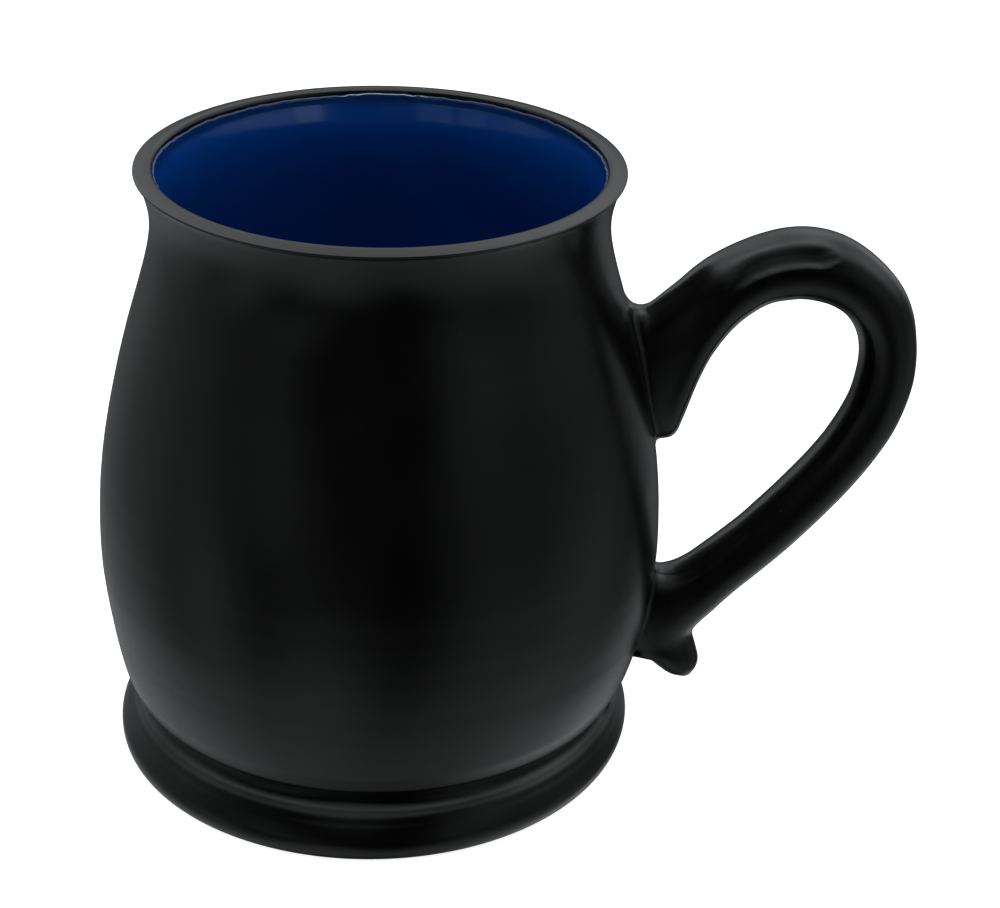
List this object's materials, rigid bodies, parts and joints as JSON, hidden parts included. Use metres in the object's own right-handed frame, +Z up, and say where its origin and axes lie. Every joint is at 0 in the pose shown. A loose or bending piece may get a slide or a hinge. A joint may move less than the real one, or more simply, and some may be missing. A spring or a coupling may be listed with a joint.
{
  "type": "glazed stoneware mug",
  "caption": "Barrel-bellied stoneware mug on a moulded foot, with a flared lip, a looped side handle, a glossy cobalt lining and a satin black outer glaze.",
  "frame": {"origin": "on the table plane, at the centre of the footprint box; the mug's own axis is vertical at x = -0.0218, y = 0", "axes": "+Z up along the mug's axis, +X from the mug towards the handle, Y across, square to the handle's plane of symmetry"},
  "size_m": [0.1424, 0.0988, 0.1087],
  "materials": {
    "stoneware": "bare fired stoneware, fine grained and matt; seen only on the foot ring",
    "joining_slip": "fired luting slip, matt, hidden under the glaze",
    "satin_black_glaze": "satin matt black glaze with faint pinholes",
    "cobalt_gloss_glaze": "glossy cobalt blue glaze"
  },
  "bodies": {
    "root": {"mug_body": "stoneware", "handle": "stoneware", "upper_slip_joint": "joining_slip", "lower_slip_joint": "joining_slip", "exterior_glaze": "satin_black_glaze", "handle_glaze": "satin_black_glaze", "base_glaze": "satin_black_glaze", "interior_glaze": "cobalt_gloss_glaze"}
  },
  "joints": []
}
